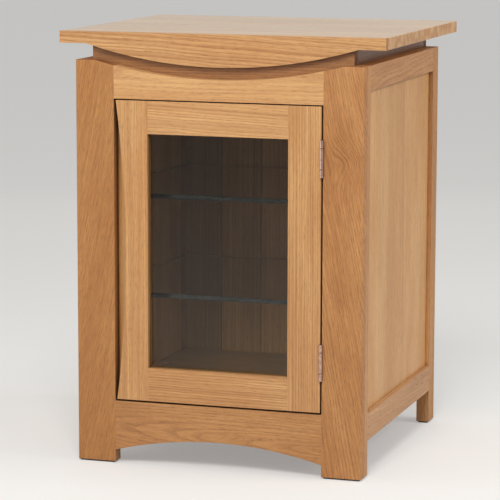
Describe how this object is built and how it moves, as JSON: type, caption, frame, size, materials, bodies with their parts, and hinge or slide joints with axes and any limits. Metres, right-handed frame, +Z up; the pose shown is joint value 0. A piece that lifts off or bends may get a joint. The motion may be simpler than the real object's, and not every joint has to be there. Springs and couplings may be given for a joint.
{
  "type": "media cabinet",
  "caption": "Free-standing oak media cabinet: framed carcass with a raised, curved-front top, one inset glazed door on butt hinges, and glass shelves inside.",
  "frame": {"origin": "on the floor, below the middle of the overall width and depth", "axes": "+Z up, +X to the right seen from the front, +Y to the back; the door faces -Y"},
  "size_m": [0.594, 0.5372, 0.768],
  "materials": {
    "stile_oak": "satin lacquered oak, fine upright grain",
    "rail_oak": "satin lacquered oak, level grain",
    "panel_oak": "satin lacquered oak boards of differing tones",
    "back_oak": "lacquered oak boards with chamfered joints",
    "floor_oak": "satin lacquered oak",
    "riser_oak": "satin lacquered oak",
    "top_oak": "satin lacquered oak, lengthwise grain",
    "door_oak": "satin lacquered oak, straight grain",
    "door_glass": "clear glass with a bevelled margin",
    "shelf_glass": "clear glass with greenish edges",
    "hinge_steel": "satin steel",
    "zinc_steel": "zinc plated",
    "magnet_steel": "nickel plated",
    "catch_plastic": "matt brown moulding",
    "sleeve_rubber": "soft translucent sleeve",
    "pad_plastic": "matt dark brown"
  },
  "bodies": {
    "cabinet": {"front_stile_left": "stile_oak", "front_stile_right": "stile_oak", "side_stile_left": "stile_oak", "side_stile_right": "stile_oak", "rear_leg_left": "stile_oak", "rear_leg_right": "stile_oak", "front_top_rail": "rail_oak", "front_bottom_rail": "rail_oak", "side_top_rail_left": "rail_oak", "side_top_rail_right": "rail_oak", "side_bottom_rail_left": "rail_oak", "side_bottom_rail_right": "rail_oak", "back_bottom_rail": "rail_oak", "side_panel_left": "panel_oak", "side_panel_right": "panel_oak", "back_boards": "back_oak", "bottom_board": "floor_oak", "floor_cleat_left": "floor_oak", "floor_cleat_right": "floor_oak", "catch_block": "floor_oak", "riser_front": "riser_oak", "riser_left": "riser_oak", "riser_right": "riser_oak", "riser_rear": "riser_oak", "top_board": "top_oak", "top_fascia": "top_oak", "upper_shelf": "shelf_glass", "lower_shelf": "shelf_glass", "upper_hinge_frame_leaf": "hinge_steel", "upper_hinge_pin": "hinge_steel", "lower_hinge_frame_leaf": "hinge_steel", "lower_hinge_pin": "hinge_steel", "frame_hinge_screws": "hinge_steel", "riser_screws": "zinc_steel", "cleat_screws": "zinc_steel", "top_brackets": "zinc_steel", "bracket_screws": "zinc_steel", "shelf_pins": "zinc_steel", "catch_magnet": "magnet_steel", "catch_housing": "catch_plastic", "shelf_pin_sleeves": "sleeve_rubber", "foot_pads_front": "pad_plastic", "foot_pads_rear": "pad_plastic"},
    "door": {"door_pull_stile": "door_oak", "door_hinge_stile": "door_oak", "door_top_rail": "door_oak", "door_bottom_rail": "door_oak", "door_glass": "door_glass", "glazing_bead_left": "door_oak", "glazing_bead_right": "door_oak", "glazing_bead_top": "door_oak", "glazing_bead_bottom": "door_oak", "bead_pins": "zinc_steel", "upper_hinge_door_leaf": "hinge_steel", "lower_hinge_door_leaf": "hinge_steel", "door_hinge_screws": "hinge_steel", "strike_plate": "hinge_steel", "strike_screw": "hinge_steel"}
  },
  "joints": [
    {"name": "door_hinge", "type": "hinge", "parent": "cabinet", "child": "door", "pos_m": [0.1895, -0.26515, 0.383], "axis": [0, 0, 1], "range_deg": [0, 180]}
  ]
}
